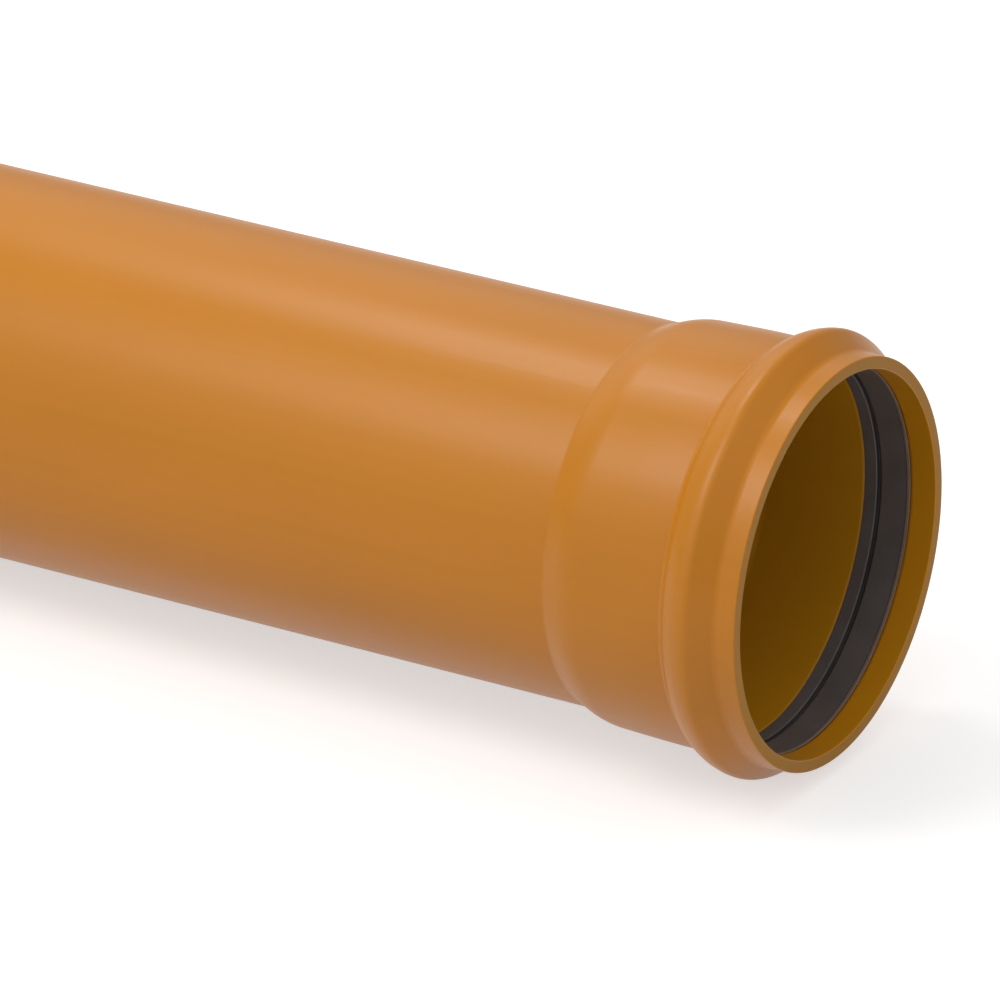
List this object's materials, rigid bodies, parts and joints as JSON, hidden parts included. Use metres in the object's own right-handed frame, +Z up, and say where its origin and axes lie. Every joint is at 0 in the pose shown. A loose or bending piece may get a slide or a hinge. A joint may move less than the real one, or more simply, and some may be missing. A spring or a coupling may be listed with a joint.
{
  "type": "pvc sewer pipe",
  "caption": "Solid-wall orange-brown gravity sewer pipe with a plain chamfered spigot and a blown push-fit socket that holds a rubber lip seal.",
  "frame": {"origin": "centre of the socket's mouth, on the pipe's axis", "axes": "+X along the pipe's axis, out of the socket's mouth; the barrel runs towards -X; +Z up as the pipe lies on a floor"},
  "size_m": [1.08, 0.1854, 0.1853],
  "materials": {
    "pvc_orange_brown": "satin",
    "seal_rubber": "satin"
  },
  "bodies": {
    "root": {"pipe": "pvc_orange_brown", "seal_ring": "seal_rubber"}
  },
  "joints": []
}
